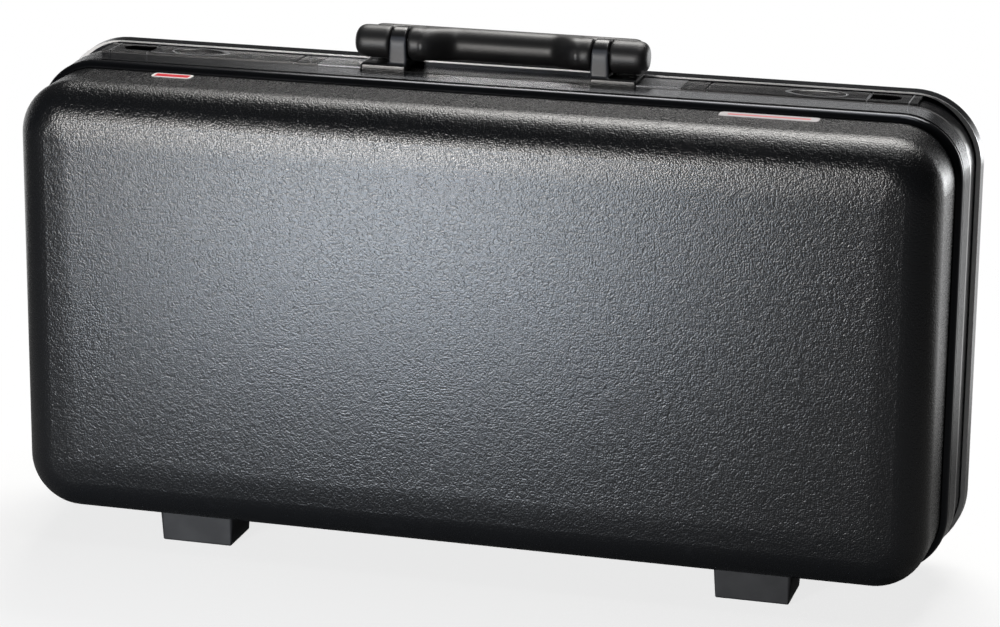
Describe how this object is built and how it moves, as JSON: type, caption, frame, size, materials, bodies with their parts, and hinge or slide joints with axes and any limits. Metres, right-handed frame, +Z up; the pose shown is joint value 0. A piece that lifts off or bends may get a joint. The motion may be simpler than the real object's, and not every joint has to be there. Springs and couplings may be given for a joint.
{
  "type": "instrument case",
  "caption": "Hard case for a straight wind instrument: two moulded shells in an aluminium frame, with key latches and a folding handle.",
  "frame": {"origin": "centre of the bounding box at the plane the feet stand on", "axes": "+X along the case to the right lock, +Y towards the lid, +Z up through the handle"},
  "size_m": [0.69, 0.17, 0.3824],
  "materials": {
    "satin_aluminium": "black anodised, satin",
    "grained_shell": "black moulded plastic with a pebble grain, half gloss",
    "lining": "dark plush over foam",
    "seal_rubber": "matt black",
    "foot_plastic": "fine matt black",
    "plated_steel": "zinc plated",
    "handle_plastic": "satin black",
    "bracket_metal": "dark grey satin paint",
    "lock_plastic": "black, half gloss",
    "key_metal": "dark chrome",
    "badge": "red with a pale rim",
    "label": "silver strip with a plain red line"
  },
  "bodies": {
    "base": {"base_frame": "satin_aluminium", "base_shell": "grained_shell", "base_insert": "lining", "base_foot_rivets": "plated_steel", "base_hinge_rivets": "plated_steel", "blank_badge": "badge", "label_strip": "label", "bracket_screws": "plated_steel", "base_foot_left": "foot_plastic", "base_foot_right": "foot_plastic", "base_hinge_leaf_left": "plated_steel", "base_hinge_leaf_right": "plated_steel", "hinge_pin_left": "plated_steel", "hinge_pin_right": "plated_steel", "handle_bracket_left": "bracket_metal", "handle_bracket_right": "bracket_metal", "handle_pin_left": "plated_steel", "handle_pin_right": "plated_steel", "cover_plate_left": "lock_plastic", "cover_plate_right": "lock_plastic", "lock_housing_left": "lock_plastic", "lock_housing_right": "lock_plastic", "lock_case_left": "plated_steel", "lock_case_right": "plated_steel", "lever_pin_left": "plated_steel", "lever_pin_right": "plated_steel"},
    "lid": {"lid_frame": "satin_aluminium", "lid_shell": "grained_shell", "lid_pad": "lining", "lid_seal": "seal_rubber", "lid_foot_rivets": "plated_steel", "lid_hinge_rivets": "plated_steel", "striker_left": "plated_steel", "striker_right": "plated_steel", "lid_foot_left": "foot_plastic", "lid_foot_right": "foot_plastic", "lid_hinge_leaf_left": "plated_steel", "lid_hinge_leaf_right": "plated_steel"},
    "handle": {"handle_grip": "handle_plastic"},
    "lever_left": {"lever_left": "lock_plastic"},
    "key_left": {"key_plug_left": "key_metal"},
    "bolt_left": {"draw_bolt_left": "plated_steel"},
    "lever_right": {"lever_right": "lock_plastic"},
    "key_right": {"key_plug_right": "key_metal"},
    "bolt_right": {"draw_bolt_right": "plated_steel"}
  },
  "joints": [
    {"name": "lid_hinge", "type": "hinge", "parent": "base", "child": "lid", "pos_m": [0, 0.038, 0.0106], "axis": [-1, 0, 0], "range_deg": [0, 105]},
    {"name": "handle_fold", "type": "hinge", "parent": "base", "child": "handle", "pos_m": [0, 0.0225, 0.3704], "axis": [1, 0, 0], "range_deg": [0, 180]},
    {"name": "lever_left_lift", "type": "hinge", "parent": "base", "child": "lever_left", "pos_m": [-0.1532, 0.0225, 0.3517], "axis": [0, 1, 0], "range_deg": [0, 45]},
    {"name": "key_left_turn", "type": "hinge", "parent": "lever_left", "child": "key_left", "pos_m": [-0.2305, 0.0225, 0.3516], "axis": [0, 0, 1], "range_deg": [0, 90]},
    {"name": "bolt_left_slide", "type": "slide", "parent": "base", "child": "bolt_left", "axis": [-1, 0, 0], "range_m": [0, 0.005]},
    {"name": "lever_right_lift", "type": "hinge", "parent": "base", "child": "lever_right", "pos_m": [0.1532, 0.0225, 0.3517], "axis": [0, -1, 0], "range_deg": [0, 45]},
    {"name": "key_right_turn", "type": "hinge", "parent": "lever_right", "child": "key_right", "pos_m": [0.2305, 0.0225, 0.3516], "axis": [0, 0, -1], "range_deg": [0, 90]},
    {"name": "bolt_right_slide", "type": "slide", "parent": "base", "child": "bolt_right", "axis": [1, 0, 0], "range_m": [0, 0.005]}
  ],
  "couplings": [
    {"joint": "bolt_left_slide", "follows": "lever_left_lift", "m_per_rad": 0.0063},
    {"joint": "bolt_right_slide", "follows": "lever_right_lift", "m_per_rad": 0.0063}
  ]
}
